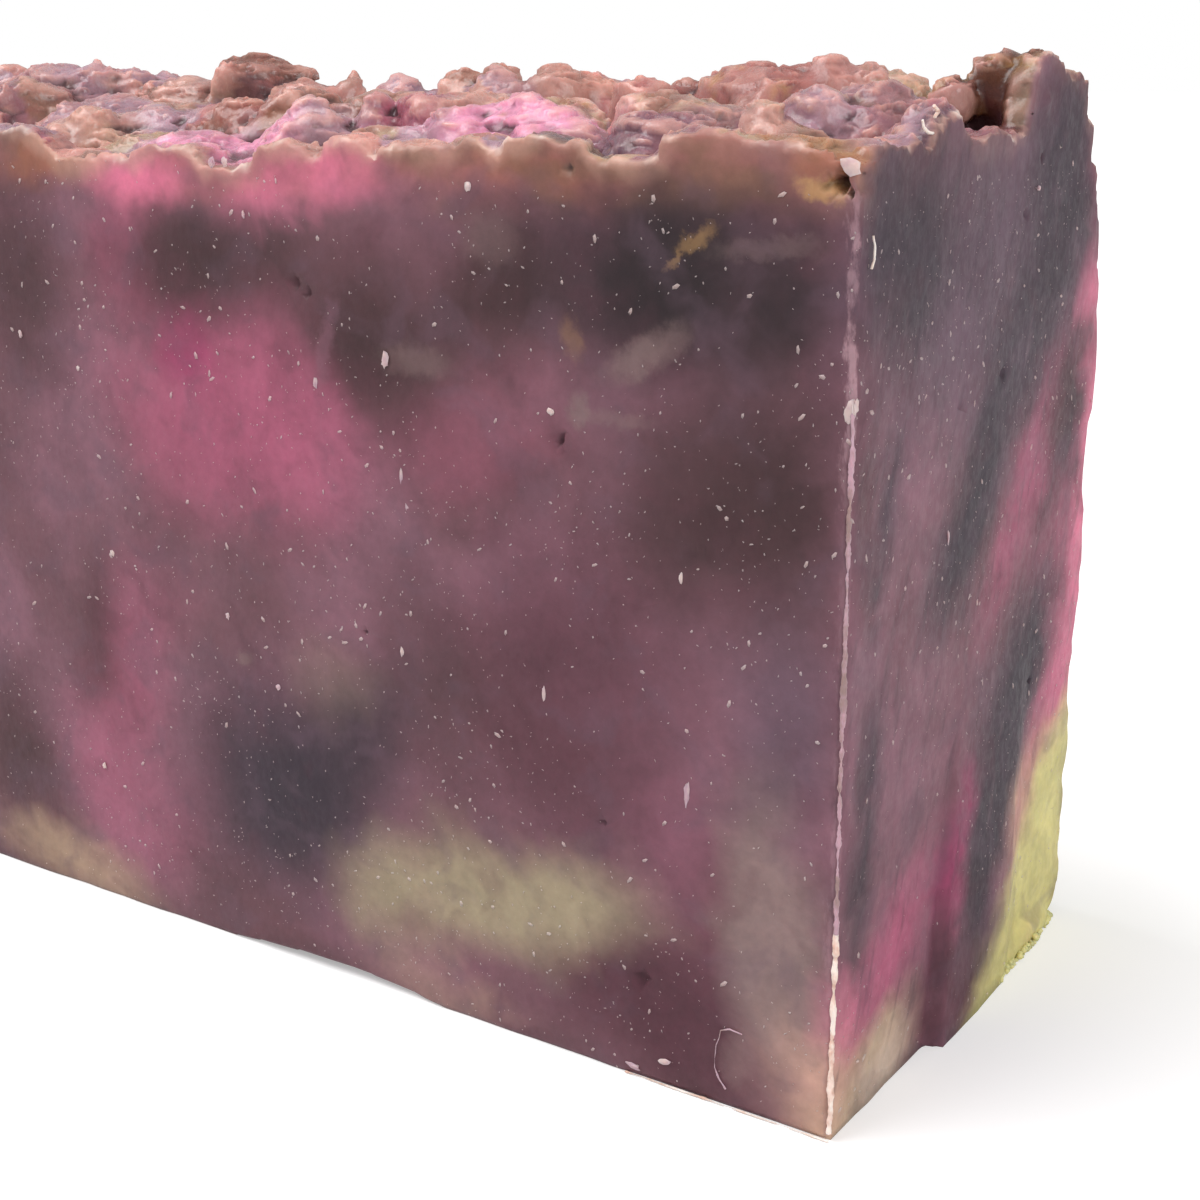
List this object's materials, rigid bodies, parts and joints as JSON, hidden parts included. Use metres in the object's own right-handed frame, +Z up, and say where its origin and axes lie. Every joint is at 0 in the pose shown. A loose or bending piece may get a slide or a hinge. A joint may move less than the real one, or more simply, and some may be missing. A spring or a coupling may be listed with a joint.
{
  "type": "bar of soap",
  "caption": "Hand-cut rectangular block of swirled soap with flat cut faces, a rounded back foot and a torn, craggy top.",
  "frame": {"origin": "middle of the bar's overall outline, on the flat foot that it stands on", "axes": "+X along the bar, towards the cut end with the dragged lobe; the front long face looks towards -Y; +Z up, towards the craggy top"},
  "size_m": [0.1212, 0.0396, 0.064],
  "materials": {
    "soap": "waxy, slightly translucent, swirled in pinks, plum and green-yellow"
  },
  "bodies": {
    "root": {"soap_bar": "soap"}
  },
  "joints": []
}
